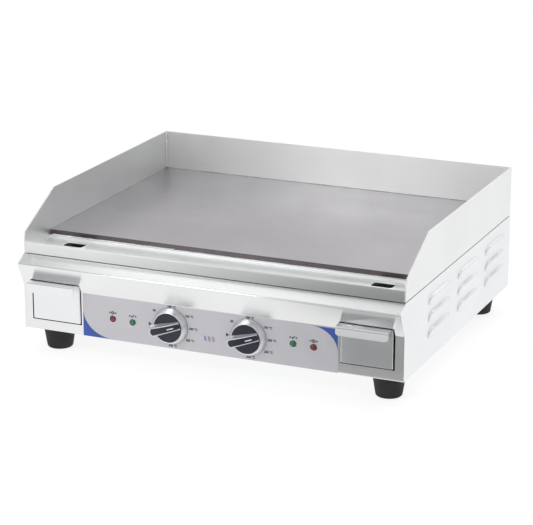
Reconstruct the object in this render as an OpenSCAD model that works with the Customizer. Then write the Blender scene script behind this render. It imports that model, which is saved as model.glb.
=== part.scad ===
// Electric flat top griddle for a counter: a sheet steel casing with a thick cooking plate,
// a grease gutter with two drains, two pull-out grease drawers and two heating zones.
// X is the width, +Y points to the back and +Z up. The origin is on the counter, under the
// middle of the whole. Inside the modules, y = 0 is the front of the control panel and
// z = 0 is the bottom edge of the casing.

/* [Casing] */
// Width over the splash walls
casing_w = 600; // [590:2:640]
// Depth from the control panel to the back
casing_d = 483; // [478:1:520]
// Height of the upright control panel, up to its fold
panel_h = 67; // [66:0.5:69]
// How far the folded nose of the visor overhangs the panel
visor_reach = 18; // [14:0.5:20]
// Height of the nose of the visor
visor_h = 103.7; // [100:0.1:106]
// Height of the seam between the casing and the cooking deck
deck_h = 116.2; // [115:0.2:117]
// Thickness of the folded sheet steel
sheet_t = 1.2; // [0.8:0.1:1.4]

/* [Cooking deck] */
// Thickness of the splash walls
wall_t = 2; // [1.5:0.1:2.5]
// Height of the top of the splash walls
wall_h = 193.5; // [180:0.5:220]
// Distance from the panel to the front edge of the cooking plate
plate_front = 80; // [78:0.5:84]
// Thickness of the cooking plate
plate_t = 8; // [6:0.5:12]
// Height of the underside of the cooking plate
plate_h = 123; // [122:0.2:124]
// Height of the top of the gutter's front lip
lip_h = 132.7; // [130:0.1:136]
// Length of a drain hole across the griddle
drain_w = 32; // [28:1:36]
// Length of a drain hole from front to back
drain_l = 20; // [16:1:28]

/* [Louvres] */
// Length of a louvre along its open edge
louvre_l = 98; // [80:1:104]
// Height of a louvre
louvre_h = 13; // [10:0.5:16]
// How far a louvre stands out
louvre_out = 4.5; // [3:0.5:6]

/* [Drawers] */
// Distance from the middle of the griddle to the middle of a drawer
drawer_x = 245.5; // [244:0.5:246]
// Width of a drawer's front
drawer_w = 76; // [74:1:78]
// Depth of a drawer's box
drawer_d = 165; // [120:5:220]
// Height of a drawer's box
drawer_box_h = 52; // [40:1:54]
// Reach of the folded handle in front of the drawer
handle_reach = 19; // [16:1:24]

/* [Controls] */
// Half the distance between the knobs' axes
knob_gap = 61.7; // [58:0.1:66]
// How far the pair of knobs sits to the right of the middle
knob_shift = 3; // [0:0.5:4]
// Height of the knobs' axes
knob_z = 34.2; // [32:0.1:36]
// Radius of a knob's skirt at the panel
skirt_r = 27.6; // [25:0.1:29]
// Length of a knob, from the panel to the tip of its grip
knob_l = 20; // [18:0.5:22]
// Radius of a pilot lamp's bezel
lamp_r = 6; // [5.5:0.5:7]

/* [Feet] */
// Height of a rubber foot
foot_h = 37; // [30:1:45]
// Radius of a foot at its top
foot_r = 25; // [22:0.5:27]

/* [Hidden] */
$fn = 64;
half_w = casing_w / 2;
inner_w = half_w - wall_t;
fit_gap = 0.4;                  // gap between a moving piece and what guides it
rear_reach = 18;                // length of the gland and the stud behind the casing
front_y = -2;                   // front face of a closed drawer
panel_y = -(casing_d + rear_reach + front_y - handle_reach) / 2;
side_h = deck_h - 1.2;          // top of the side panels, a gasket's thickness below the deck
gutter_z = deck_h + sheet_t;    // floor of the gutter
plate_back = casing_d - wall_t - 1;
plate_top = plate_h + plate_t;
fold_r = 2;                     // outer radius of a sheet fold
shelf_h = side_h - 0.4;         // folded shelf at the top of the fascia

opening_w = drawer_w + 6;
opening_z = [15.5, 78.5];
box_w = drawer_w - 3;
box_z = 18;                     // underside of a drawer's box
front_z = [17.5, 77];
rail_x = box_w / 2 + fit_gap;   // inner face of a runner, from the drawer's middle

drain_y = 59.5;
drain_corner = 4.5;
spout_z = 80;
pan_seam_x = 205;               // where the gutter pan's end lengths butt against the middle one
pan_seam = 0.03;
label_w = 404;
label_h = 66;
label_t = 0.4;
lamp_spots = [[-152.5, 32.8], [-120.1, 31.6], [133.8, 34.3], [165.1, 33.3]];
foot_spots = [[-264, 40], [264, 40], [-264, 445], [264, 445]];
shaft_r = 3;
skirt_y = -1;                   // back rim of a knob's skirt
disc_y = -10;                   // front face of a knob's disc
grip_heel = 20;                 // distance from a knob's axis to the heel of its grip
grip_reach = 27;                // distance from a knob's axis to the tip, where it points
grip_turn = 17;                 // how far the grip's heel is raised at rest

element_r = 4.25;
element_z = plate_h - element_r;
element_runs = [60, 120, 180, 240];
element_y = [120, 430];
clamp_rows = [165, 285, 405];
blanket_y = [116, 468];
blanket_z = [87.2, 111.2];
gland_spot = [-215, 30];
stud_spot = [-250, 30];

// ---- Sheet metal helpers -------------------------------------------------------------

// Moves from the inner frame (panel front, casing bottom) to the part's own frame
module at_casing() {
    translate([0, panel_y, foot_h]) children();
}

function knob_at(side) = side * knob_gap + knob_shift;
function direction(from, to) = (to - from) / norm(to - from);
function left_of(d) = [-d[1], d[0]];

// Points of a corner of a path, rounded by an arc that touches both of its sides
function rounded_corner(before, corner, after, radius, steps) =
    let (d_in = direction(before, corner),
         d_out = direction(corner, after),
         turn = acos(d_in * d_out),
         setback = radius * tan(turn / 2),
         start = corner - setback * d_in,
         side = sign(left_of(d_in) * d_out))
    [for (i = [0 : steps])
        let (a = turn * i / steps)
        start + radius * (sin(a) * d_in + side * (1 - cos(a)) * left_of(d_in))];

// A path with all its inner corners rounded
function rounded_path(path, radius, steps = 6) = [
    path[0],
    for (i = [1 : len(path) - 2])
        each rounded_corner(path[i - 1], path[i], path[i + 1], radius, steps),
    path[len(path) - 1]
];

// The same path moved sideways, to its left, by a distance
function shifted_path(path, distance) = [
    for (i = [0 : len(path) - 1])
        let (last = len(path) - 1,
             d_in = i > 0 ? direction(path[i - 1], path[i]) : direction(path[0], path[1]),
             d_out = i < last ? direction(path[i], path[i + 1]) : d_in,
             bisector = left_of(d_in) + left_of(d_out))
        path[i] + distance * 2 * bisector / (bisector * bisector)
];

function backwards(path) = [for (i = [len(path) - 1 : -1 : 0]) path[i]];

// A folded sheet along a path in (y, z), as wide as given, centred on x = 0. Its thickness
// lies to the left of the path, or to the right where it is negative.
module folded_sheet(path, width, radius, thickness) {
    outer = rounded_path(path, radius);
    rotate([90, 0, 90])
        linear_extrude(height = width, center = true)
            polygon(concat(outer, backwards(shifted_path(outer, thickness))));
}

// An outline in (y, z) pushed along +X from x_from
module side_extrude(x_from, length) {
    translate([x_from, 0, 0]) rotate([90, 0, 90]) linear_extrude(height = length) children();
}

// A rectangle with rounded corners, centred
module rounded_rect(w, l, r) {
    square([w - 2 * r, l], center = true);
    square([w, l - 2 * r], center = true);
    for (sx = [-1, 1], sy = [-1, 1])
        translate([sx * (w / 2 - r), sy * (l / 2 - r)]) circle(r);
}

// A cylinder along Y, from y_from to y_to
module rod_y(r, y_from, y_to) {
    translate([0, y_from, 0]) rotate([-90, 0, 0]) cylinder(h = y_to - y_from, r = r);
}

module box(low, high) {
    translate(low) cube(high - low);
}

// ---- Casing --------------------------------------------------------------------------

module front_fascia() {
    color("silver") at_casing() difference() {
        folded_sheet([[24, shelf_h], [3, shelf_h], [-visor_reach, visor_h], [0, panel_h], [0, 0],
            [16, 0]], casing_w - 2 * sheet_t, fold_r, sheet_t);
        for (s = [-1, 1])
            translate([s * drawer_x - opening_w / 2, -visor_reach, opening_z[0]])
                cube([opening_w, visor_reach + 5, opening_z[1] - opening_z[0]]);
        for (s = [-1, 1])
            translate([knob_at(s), 0, knob_z]) rod_y(5.5, -1, 3);
        for (spot = lamp_spots)
            translate([spot[0], 0, spot[1]]) rod_y(4.8, -1, 3);
    }
}

// Outline of one louvre in (y, z): its open edge below, its rounded shoulders above
module louvre_outline(inset) {
    half_l = louvre_l / 2 - inset;
    top = louvre_h - inset;
    shoulder = 10;
    polygon([
        [-half_l, 0],
        for (a = [0 : 15 : 90])
            [-half_l + (1 - cos(a)) * shoulder, top - shoulder + sin(a) * shoulder],
        for (a = [90 : -15 : 0])
            [half_l - (1 - cos(a)) * shoulder, top - shoulder + sin(a) * shoulder],
        [half_l, 0]
    ]);
}

// Pressed hood, hollow and open at its lower edge
module louvre(inset) {
    intersection() {
        side_extrude(-2, louvre_out + 2) louvre_outline(inset);
        rotate([90, 0, 0]) linear_extrude(height = louvre_l, center = true)
            polygon([[-2, 0], [louvre_out - inset, 0], [louvre_out - inset, louvre_h * 0.35],
                [louvre_out * 0.7 - inset, louvre_h * 0.7], [0.2, louvre_h - inset],
                [-2, louvre_h - inset]]);
    }
}

module louvre_spots() {
    for (column = [147.5, 277.5, 407.5], row = [34, 59, 84])
        translate([half_w, column, row]) children();
}

// The sheet follows the visor at its front, and has flanges folded inwards
module side_panel() {
    flange_x = half_w - 15;
    skin_x = half_w - sheet_t;
    back_y = casing_d - sheet_t;
    color("gainsboro") difference() {
        union() {
            side_extrude(skin_x, sheet_t)
                polygon([[0, 0], [0, panel_h], [-visor_reach, visor_h], [3, side_h],
                    [back_y, side_h], [back_y, 0]]);
            box([flange_x, 30, side_h - sheet_t], [skin_x, casing_d - 20, side_h]);
            box([flange_x, 18, 0], [skin_x, casing_d - 20, sheet_t]);
            box([flange_x, back_y - sheet_t, 6], [skin_x, back_y, side_h - 6]);
            louvre_spots() louvre(0);
        }
        louvre_spots() translate([0, 0, -0.01]) louvre(1);
        base_screw_spots() translate([0, 0, -1]) cylinder(h = 4, r = 2.2);
        rear_screw_spots() rod_y(2.2, -5, 1);
    }
}

module side_panel_left() {
    at_casing() mirror([1, 0, 0]) side_panel();
}

module side_panel_right() {
    at_casing() side_panel();
}

module rear_panel() {
    color("silver") at_casing() difference() {
        union() {
            box([-half_w, casing_d - sheet_t, 0], [half_w, casing_d, side_h]);
            box([-half_w + 16, casing_d - 14, side_h - sheet_t],
                [half_w - 16, casing_d - sheet_t, side_h]);
        }
        translate([gland_spot[0], casing_d, gland_spot[1]]) rod_y(8, -3, 3);
        translate([stud_spot[0], casing_d, stud_spot[1]]) rod_y(3.2, -3, 3);
        rear_screw_spots() rod_y(2.2, -3, 3);
    }
}

// Three screws into each side panel's rear flange and two into the base plate's
module rear_screw_spots() {
    for (x = [8 - half_w, half_w - 8], z = [14, side_h / 2, side_h - 14])
        translate([x, casing_d, z]) children();
    for (x = [-90, 90])
        translate([x, casing_d, 14]) children();
}

module rear_panel_screws() {
    color("gray") at_casing() rear_screw_spots() {
        rod_y(3.8, 0, 1.8);
        rod_y(2.1, -8, 0.01);
    }
}

// The bottom sheet lies on the folded feet of the side panels and of the fascia
module base_plate() {
    color("darkgray") at_casing() difference() {
        union() {
            box([-half_w + 2, 2 * sheet_t, sheet_t], [half_w - 2, casing_d - sheet_t, 2 * sheet_t]);
            box([-half_w + 20, casing_d - 2 * sheet_t, 2 * sheet_t],
                [half_w - 20, casing_d - sheet_t, 22]);
        }
        for (spot = foot_spots)
            translate([spot[0], spot[1], 0]) cylinder(h = 5, r = 3.2);
        for (x = [-90 : 30 : 90], y = [190, 320])
            translate([x, y, 0]) {
                translate([-3, -25, 0]) cube([6, 50, 5]);
                for (s = [-1, 1])
                    translate([0, s * 25, 0]) cylinder(h = 5, r = 3);
            }
        base_screw_spots() cylinder(h = 5, r = 2.2);
        rear_screw_spots() rod_y(2.2, -5, 1);
        translate([gland_spot[0], casing_d, gland_spot[1]]) rod_y(14, -5, 1);
    }
}

module base_screw_spots() {
    for (x = [-half_w + 8, half_w - 8], y = [110, 240, 370])
        translate([x, y, 0]) children();
}

// Screws from below, through the side panels' lower flanges into the base plate
module base_plate_screws() {
    color("gray") at_casing() base_screw_spots() {
        translate([0, 0, -1.8]) cylinder(h = 1.8, r = 3.8);
        translate([0, 0, -0.01]) cylinder(h = 6, r = 2.1);
    }
}

// ---- Cooking deck --------------------------------------------------------------------

// Front lip with its edge hemmed inwards, channel, and a back wall that carries the plate.
// A middle length has an end length butted to it at each side, with a drain hole in each
module gutter_pan() {
    color("silver") at_casing() difference() {
        folded_sheet([[6.6, lip_h - 9], [6.6, lip_h], [3, lip_h], [3, deck_h],
            [plate_front, deck_h], [plate_front, plate_h - sheet_t],
            [plate_front + 15, plate_h - sheet_t]], 2 * inner_w, 1.6, sheet_t);
        for (s = [-1, 1]) {
            translate([s * drawer_x, drain_y, deck_h - 1])
                linear_extrude(height = 4) rounded_rect(drain_w, drain_l, drain_corner);
            box([s * pan_seam_x - pan_seam / 2, 0, deck_h - 5],
                [s * pan_seam_x + pan_seam / 2, plate_front + 20, lip_h + 5]);
        }
    }
}

// Side view of a splash wall: its front edge leans back, then turns upright at the lip
module side_wall_outline() {
    polygon([[2.5, deck_h], [3, 132], [5, 142], [8, 147], [12, 150], [96, wall_h],
        [casing_d - wall_t - 1, wall_h], [casing_d - wall_t - 1, deck_h]]);
}

module splash_wall_left() {
    color("silver") at_casing() side_extrude(-half_w, wall_t) side_wall_outline();
}

module splash_wall_right() {
    color("silver") at_casing() side_extrude(inner_w, wall_t) side_wall_outline();
}

module splash_wall_back() {
    color("silver") at_casing()
        box([-half_w, plate_back, deck_h], [half_w, plate_back + wall_t, wall_h]);
}

// A quarter-round bead along Z, in the quadrant that the two signs give
module quarter_bead(length, r, sx, sy) {
    intersection() {
        translate([min(sx, 0) * r, min(sy, 0) * r, 0]) cube([r, r, length]);
        cylinder(h = length, r = r);
    }
}

module splash_corner_welds() {
    color("white") at_casing() for (s = [-1, 1])
        translate([s * inner_w, plate_back, plate_top + 2])
            quarter_bead(wall_h - plate_top - 3, 3, -s, -1);
}

module cooking_plate() {
    color("dimgray") at_casing()
        box([-inner_w, plate_front, plate_h], [inner_w, plate_back, plate_top]);
}

// Weld along the foot of the plate's front edge, and round its top against the walls
module plate_weld_beads() {
    end_gap = 4;
    across = 2 * inner_w - 2 * end_gap;
    along = plate_back - plate_front - 2 * end_gap;
    color("white") at_casing() {
        translate([end_gap - inner_w, plate_front, plate_h])
            rotate([90, 0, 90]) quarter_bead(across, 1.2, -1, 1);
        translate([end_gap - inner_w, plate_back, plate_top])
            rotate([90, 0, 90]) quarter_bead(across, 1.5, -1, 1);
        for (s = [-1, 1])
            translate([s * inner_w, plate_front + end_gap, plate_top])
                rotate([-90, 0, 0]) quarter_bead(along, 1.5, -s, -1);
    }
}

// Angle bars welded inside the walls, with the cooking plate resting on them
module plate_rails() {
    rail_from = plate_front + 16;
    rail_l = plate_back - rail_from - 14;
    leg = sheet_t * 1.5;
    color("gray") at_casing() {
        for (s = [0, 1]) mirror([s, 0, 0]) {
            box([inner_w - 14, rail_from, plate_h - leg], [inner_w, rail_from + rail_l, plate_h]);
            box([inner_w - leg, rail_from, deck_h], [inner_w, rail_from + rail_l, plate_h - leg]);
        }
        box([-inner_w, plate_back - 13, plate_h - leg], [inner_w, plate_back, plate_h]);
        box([-inner_w, plate_back - leg, deck_h], [inner_w, plate_back, plate_h - leg]);
    }
}

// Heat-proof strips between the deck and the casing's flanges
module deck_gasket() {
    color("black") at_casing() {
        for (s = [0, 1]) mirror([s, 0, 0])
            box([half_w - 14, 30, side_h], [half_w - 1.6, casing_d - 22, deck_h]);
        box([-half_w + 18, casing_d - 12, side_h], [half_w - 18, casing_d - 3, deck_h]);
    }
}

module drain_spout(side) {
    color("silver") at_casing() translate([side * drawer_x, drain_y, spout_z]) difference() {
        linear_extrude(height = gutter_z - spout_z - 0.3)
            rounded_rect(drain_w, drain_l, drain_corner);
        translate([0, 0, -1]) linear_extrude(height = 50)
            rounded_rect(drain_w - 2, drain_l - 2, drain_corner - 1);
    }
}

module drain_spout_left() { drain_spout(-1); }
module drain_spout_right() { drain_spout(1); }

// ---- Grease drawers ------------------------------------------------------------------

module drawer_box(side) {
    wall = 1;
    color("lightsteelblue") at_casing() translate([side * drawer_x, front_y + sheet_t, box_z])
        difference() {
            translate([-box_w / 2, 0, 0]) cube([box_w, drawer_d, drawer_box_h]);
            translate([-box_w / 2 + wall, wall, wall])
                cube([box_w - 2 * wall, drawer_d - 2 * wall, drawer_box_h]);
        }
}

// Front plate with the sheet folded forward at its top and down again as a finger lip
module drawer_front(side) {
    lip_drop = 13;
    reach_y = front_y - handle_reach;
    color("whitesmoke") at_casing() translate([side * drawer_x, 0, 0]) difference() {
        folded_sheet([[front_y, front_z[0]], [front_y, front_z[1]], [reach_y, front_z[1]],
            [reach_y, front_z[1] - lip_drop]], drawer_w, 1.8, -sheet_t);
        for (s = [-1, 1])
            translate([s * drawer_w / 2, reach_y, front_z[1] - lip_drop]) rounded_off(5, s);
    }
}

// What is cut away to round a lower corner of the finger lip
module rounded_off(r, s) {
    difference() {
        translate([s > 0 ? -r : -1, -1, -1]) cube([r + 1, 4, r + 1]);
        translate([-s * r, 0, r]) rod_y(r, -2, 4);
    }
}

module drawer_box_left() { drawer_box(-1); }
module drawer_box_right() { drawer_box(1); }
module drawer_front_left() { drawer_front(-1); }
module drawer_front_right() { drawer_front(1); }

// Two Z-shaped rails on the base plate, each with a ledge under the drawer and a rear stop
module drawer_runners(side) {
    foot_z = 2 * sheet_t;
    run = [8, drawer_d + 12];
    ledge_top = box_z - fit_gap;
    color("gray") at_casing() translate([side * drawer_x, 0, 0])
        for (s = [0, 1]) mirror([s, 0, 0]) {
            box([rail_x, run[0], foot_z], [rail_x + sheet_t, run[1], 34]);
            box([rail_x - 8, run[0], ledge_top - sheet_t], [rail_x, run[1], ledge_top]);
            box([rail_x + sheet_t, run[0] + 60, foot_z], [rail_x + 7, run[1], foot_z + sheet_t]);
            box([rail_x - 8, run[1] - sheet_t, ledge_top], [rail_x, run[1], 34]);
        }
}

module drawer_runners_left() { drawer_runners(-1); }
module drawer_runners_right() { drawer_runners(1); }

// ---- Control panel -------------------------------------------------------------------

module control_label() {
    color("lavender") at_casing() difference() {
        box([-label_w / 2, -label_t, 0.3], [label_w / 2, 0, label_h]);
        for (s = [-1, 1])
            translate([knob_at(s), 0, knob_z]) rod_y(6, -1, 1);
        for (spot = lamp_spots)
            translate([spot[0], 0, spot[1]]) rod_y(4.8, -1, 1);
    }
}

// Bezel, barrel and rear housing of each pilot lamp in one moulding
module lamp_holders() {
    color("silver") at_casing() for (spot = lamp_spots)
        translate([spot[0], 0, spot[1]]) difference() {
            union() {
                rod_y(lamp_r, -label_t - 1.4, -label_t);
                rod_y(4.7, -label_t, 22);
                rod_y(6.5, sheet_t, 5);
            }
            rod_y(4, -3, 14);
        }
}

// A lens fills its holder and ends in a shallow dome
module lamp_lens(spot, tint) {
    dome_r = 6;
    dome_y = -label_t - 1.4;
    rim = sqrt(dome_r * dome_r - 4 * 4);
    color(tint) at_casing() translate([spot[0], 0, spot[1]]) {
        rod_y(3.98, dome_y, 14);
        translate([0, dome_y, 0]) rotate([90, 0, 0]) rotate_extrude()
            intersection() {
                translate([0, -rim]) circle(dome_r);
                square([3.98, dome_r]);
            }
    }
}

module power_lamp_lens_left() { lamp_lens(lamp_spots[0], "red"); }
module ready_lamp_lens_left() { lamp_lens(lamp_spots[1], "green"); }
module ready_lamp_lens_right() { lamp_lens(lamp_spots[2], "green"); }
module power_lamp_lens_right() { lamp_lens(lamp_spots[3], "red"); }

// The turned profile is drawn in (radius, height off the panel)
module knob_skirt(side) {
    rim = -skirt_y;
    face = -disc_y;
    color("silver") at_knob(side) rotate([90, 0, 0]) rotate_extrude($fn = 96)
        polygon([[skirt_r - 1.2, rim], [skirt_r, rim], [skirt_r, rim + 1.2],
            [skirt_r - 4.2, face + 0.4], [skirt_r - 5.4, face + 0.8], [skirt_r - 6, face],
            [skirt_r - 6, face - 1.5], [skirt_r - 2.4, rim + 1.2]]);
}

module at_knob(side) {
    at_casing() translate([knob_at(side), 0, knob_z]) children();
}

// Front view of the bar grip: narrow at its heel, wider at its blunt tip on the left
module grip_outline(heel, tip, reach) {
    corner = 3;
    polygon([
        [grip_heel, -heel],
        [grip_heel, heel],
        for (a = [90 : 15 : 180])
            [corner - reach + corner * cos(a), tip - corner + corner * sin(a)],
        for (a = [180 : 15 : 270])
            [corner - reach + corner * cos(a), corner - tip + corner * sin(a)]
    ]);
}

// Side view of the grip in (x, height off the panel): its top rises from the heel to the
// tip, and its underside steps up where the tip reaches out over the skirt
function grip_side(drop) = [
    [grip_heel, 12.5 - drop], [8, 15.5 - drop], [-8, knob_l - 1.4 - drop],
    [-18, knob_l - drop], [-grip_reach - 1, knob_l - 0.6 - drop],
    [-grip_reach - 1, 13], [-20.5, 11.2], [-19, -disc_y], [grip_heel, -disc_y]
];

// The grip between its side view, its sloping flanks and a front view given as a child
module grip_between(drop) {
    intersection() {
        rotate([90, 0, 0]) linear_extrude(height = knob_l + 4) children();
        translate([0, 0, -12]) linear_extrude(height = 24) mirror([0, 1, 0])
            polygon(grip_side(drop));
        rotate([90, 0, 90]) linear_extrude(height = 80, center = true)
            polygon([[disc_y, 9.5], [-knob_l, 6.3], [-knob_l, -6.3], [disc_y, -9.5]]);
    }
}

module at_grip(side) {
    at_knob(side) rotate([0, -grip_turn, 0]) children();
}

// A dark disc on a hub, and the dark core of the grip
module knob_body(side) {
    plate = 1.6;
    color("darkslategray") {
        at_knob(side) difference() {
            union() {
                rod_y(skirt_r - 6.1, disc_y, disc_y + plate);
                rod_y(7, disc_y + plate - 0.01, skirt_y - 1);
            }
            rod_y(shaft_r + 0.02, disc_y + plate, 0);
        }
        at_grip(side) grip_between(0.3) grip_outline(4, 5.2, grip_reach - 3);
    }
}

// Bright flared flanks round the core of the grip, open at its heel
module knob_trim(side) {
    color("white") at_grip(side) grip_between(0) difference() {
        grip_outline(6.3, 9.5, grip_reach);
        grip_outline(4.02, 5.22, grip_reach - 2.98);
        translate([grip_heel - 0.5, -8]) square([2, 16]);
    }
}

module thermostat_shaft(side) {
    color("gray") at_knob(side) rod_y(shaft_r, disc_y + 1.6, 12);
}

module knob_skirt_left() { knob_skirt(-1); }
module knob_skirt_right() { knob_skirt(1); }
module knob_body_left() { knob_body(-1); }
module knob_body_right() { knob_body(1); }
module knob_trim_left() { knob_trim(-1); }
module knob_trim_right() { knob_trim(1); }
module thermostat_shaft_left() { thermostat_shaft(-1); }
module thermostat_shaft_right() { thermostat_shaft(1); }

// ---- Inside --------------------------------------------------------------------------

module thermostat(side) {
    color("tan") at_casing() translate([knob_at(side), 0, knob_z]) difference() {
        union() {
            box([-23, sheet_t, -17], [23, sheet_t + 6, 17]);
            box([-19, sheet_t + 6, -15], [19, 38, 15]);
        }
        rod_y(shaft_r + 0.05, 0, 12.5);
        for (s = [-1, 1])
            translate([s * 14, 0, 0]) rod_y(1.9, 0, 7);
    }
}

module thermostat_left() { thermostat(-1); }
module thermostat_right() { thermostat(1); }

module thermostat_screws() {
    color("gray") at_casing() for (side = [-1, 1], s = [-1, 1])
        translate([knob_at(side) + s * 14, 0, knob_z]) rod_y(1.88, sheet_t, 7);
}

// A sensing bulb under the plate and its thin tube down to the thermostat
module capillary_bulb(side) {
    x = side * 76;
    bulb_z = plate_h - 3.1;
    drop_y = 105;
    port_z = 40;
    color("peru") at_casing() {
        translate([x, 0, bulb_z]) rod_y(3, 200, 272);
        translate([x, 0, bulb_z]) rod_y(1, drop_y, 200);
        translate([x, drop_y, bulb_z]) sphere(1, $fn = 24);
        translate([x, drop_y, port_z]) cylinder(h = bulb_z - port_z, r = 1);
        translate([x, drop_y, port_z]) sphere(1, $fn = 24);
        translate([x, 0, port_z]) rod_y(1, 38, drop_y);
    }
}

module capillary_bulb_left() { capillary_bulb(-1); }
module capillary_bulb_right() { capillary_bulb(1); }

module high_limit_cutouts() {
    color("black") at_casing() for (s = [-1, 1])
        translate([s * 150, 225, plate_h - 11]) {
            cylinder(h = 8, r = 8);
            translate([0, 0, 8]) cylinder(h = 3, r = 12);
        }
}

// A tube bent into four runs under the plate, its two ends turned down to the terminals
module heating_element(side) {
    bend_r = (element_runs[1] - element_runs[0]) / 2;
    end_r = 12;
    end_z = 92;
    color("firebrick") at_casing() mirror([side < 0 ? 1 : 0, 0, 0]) translate([0, 0, element_z]) {
        for (x = element_runs)
            translate([x, 0, 0]) rod_y(element_r, element_y[0] + bend_r, element_y[1] - bend_r);
        for (i = [0, 2])
            translate([element_runs[i] + bend_r, element_y[1] - bend_r, 0]) half_bend(bend_r, 0);
        translate([element_runs[1] + bend_r, element_y[0] + bend_r, 0]) half_bend(bend_r, 180);
        for (i = [0, 3]) translate([element_runs[i], 0, 0]) {
            rod_y(element_r, element_y[0], element_y[0] + bend_r);
            translate([0, element_y[0], -end_r]) rotate([0, -90, 0]) rotate([0, 0, -90])
                rotate_extrude(angle = 90) translate([end_r, 0]) circle(element_r);
            translate([0, element_y[0] - end_r, end_z - element_z])
                cylinder(h = element_z - end_r - end_z, r = element_r);
        }
    }
}

module half_bend(bend_r, turn) {
    rotate([0, 0, turn]) rotate_extrude(angle = 180) translate([bend_r, 0]) circle(element_r);
}

module heating_element_left() { heating_element(-1); }
module heating_element_right() { heating_element(1); }

// Bars that hold the elements up against the plate, each on two studs with nuts
module element_clamps() {
    bar_z = element_z - element_r - 3.2;
    color("gray") at_casing() for (side = [-1, 1], y = clamp_rows) {
        box([side * 150 - 105, y - 10, bar_z], [side * 150 + 105, y + 10, bar_z + 3]);
        for (x = [90, 210])
            translate([side * x, y, bar_z + 3]) cylinder(h = plate_h - bar_z - 3, r = 3);
    }
}

module insulation_blanket() {
    color("ivory") at_casing() box([-inner_w + 22, blanket_y[0], blanket_z[0]],
        [inner_w - 22, blanket_y[1], blanket_z[1]]);
}

module heat_shield() {
    edge = half_w - 18;
    floor_z = blanket_z[0] - sheet_t;
    color("silver") at_casing() {
        box([-edge, blanket_y[0], floor_z], [edge, blanket_y[1], blanket_z[0]]);
        for (s = [0, 1]) mirror([s, 0, 0])
            box([edge, blanket_y[0], floor_z], [edge + sheet_t, blanket_y[1], side_h - sheet_t]);
    }
}

module terminal_block() {
    color("white") at_casing() difference() {
        box([-180, 425, 2 * sheet_t], [-110, 447, 24]);
        for (x = [-170 : 12 : -120])
            translate([x, 436, 12]) cylinder(h = 20, r = 3.5);
    }
}

// Cables tied along the base plate, from the terminals to both thermostats
module wiring_loom() {
    r = 4;
    z = 2 * sheet_t + r;
    front = 60;
    color("dimgray") at_casing() {
        translate([-145, 0, z]) rod_y(r, front, 425);
        translate([-145, front, z]) sphere(r, $fn = 32);
        translate([-145, front, z]) rotate([0, 90, 0]) cylinder(h = 145 + knob_at(1), r = r);
        translate([knob_at(1), front, z]) sphere(r, $fn = 32);
        for (s = [-1, 1]) translate([knob_at(s), 0, 0]) {
            translate([0, 0, z]) rod_y(r, 28, front);
            translate([0, 28, z]) sphere(r, $fn = 32);
            translate([0, 28, z]) cylinder(h = knob_z - 15 - z, r = r);
        }
    }
}

module cable_gland() {
    color("black") at_casing() translate([gland_spot[0], casing_d, gland_spot[1]]) difference() {
        union() {
            rod_y(7.9, -12, 0.5);
            rod_y(12, 0, 5);
            translate([0, 5, 0]) rotate([-90, 0, 0]) cylinder(h = rear_reach - 7, r = 11, $fn = 6);
            rod_y(9.4, rear_reach - 2.5, rear_reach);
        }
        rod_y(5.5, -13, rear_reach + 1);
    }
}

module gland_locknut() {
    color("black") at_casing() translate([gland_spot[0], casing_d - sheet_t, gland_spot[1]])
        difference() {
            translate([0, -5, 0]) rotate([-90, 0, 0]) cylinder(h = 5, r = 13, $fn = 6);
            rod_y(7.95, -6, 1);
        }
}

// Bonding stud with a nut inside and a flanged nut outside
module earth_stud() {
    color("goldenrod") at_casing() translate([stud_spot[0], casing_d, stud_spot[1]]) {
        rod_y(3, -8, rear_reach - 1);
        translate([0, -sheet_t - 4.5, 0]) rotate([-90, 0, 0]) cylinder(h = 4.5, r = 5.7, $fn = 6);
        rotate([-90, 0, 0]) cylinder(h = 4.5, r = 5.7, $fn = 6);
    }
}

// ---- Feet ----------------------------------------------------------------------------

// Tapered rubber foot with a recess for its screw
module foot(i) {
    low_r = foot_r * 0.78;
    edge = 3;
    color("black") translate([foot_spots[i][0], foot_spots[i][1] + panel_y, 0]) rotate_extrude()
        polygon([
            [3.2, 12], [7, 12], [7, 0], [low_r - edge, 0],
            for (a = [-75 : 15 : 0])
                [low_r - edge + edge * cos(a), edge + edge * sin(a)],
            [foot_r, foot_h - 3], [foot_r - 0.8, foot_h], [3.2, foot_h]
        ]);
}

module foot_front_left() { foot(0); }
module foot_front_right() { foot(1); }
module foot_rear_left() { foot(2); }
module foot_rear_right() { foot(3); }

// Screws up through the feet, with their nuts on the base plate
module foot_screws() {
    head_z = 8;
    color("silver") for (spot = foot_spots) translate([spot[0], spot[1] + panel_y, 0]) {
        translate([0, 0, head_z]) cylinder(h = 4, r = 5.5);
        translate([0, 0, head_z + 4]) cylinder(h = foot_h - head_z + 8, r = 3.1);
        translate([0, 0, foot_h + 2 * sheet_t]) cylinder(h = 4, r = 5.7, $fn = 6);
    }
}

// ---- Assembly ------------------------------------------------------------------------

front_fascia();
side_panel_left();
side_panel_right();
rear_panel();
base_plate();
gutter_pan();
splash_wall_left();
splash_wall_right();
splash_wall_back();
splash_corner_welds();
cooking_plate();
plate_weld_beads();
plate_rails();
deck_gasket();
drain_spout_left();
drain_spout_right();
drawer_runners_left();
drawer_runners_right();
control_label();
lamp_holders();
power_lamp_lens_left();
ready_lamp_lens_left();
ready_lamp_lens_right();
power_lamp_lens_right();
thermostat_left();
thermostat_right();
capillary_bulb_left();
capillary_bulb_right();
high_limit_cutouts();
heating_element_left();
heating_element_right();
element_clamps();
insulation_blanket();
heat_shield();
terminal_block();
wiring_loom();
cable_gland();
gland_locknut();
earth_stud();
foot_front_left();
foot_front_right();
foot_rear_left();
foot_rear_right();
foot_screws();
rear_panel_screws();
base_plate_screws();
thermostat_screws();
drawer_box_left();
drawer_front_left();
drawer_box_right();
drawer_front_right();
knob_skirt_left();
knob_body_left();
knob_trim_left();
thermostat_shaft_left();
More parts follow.
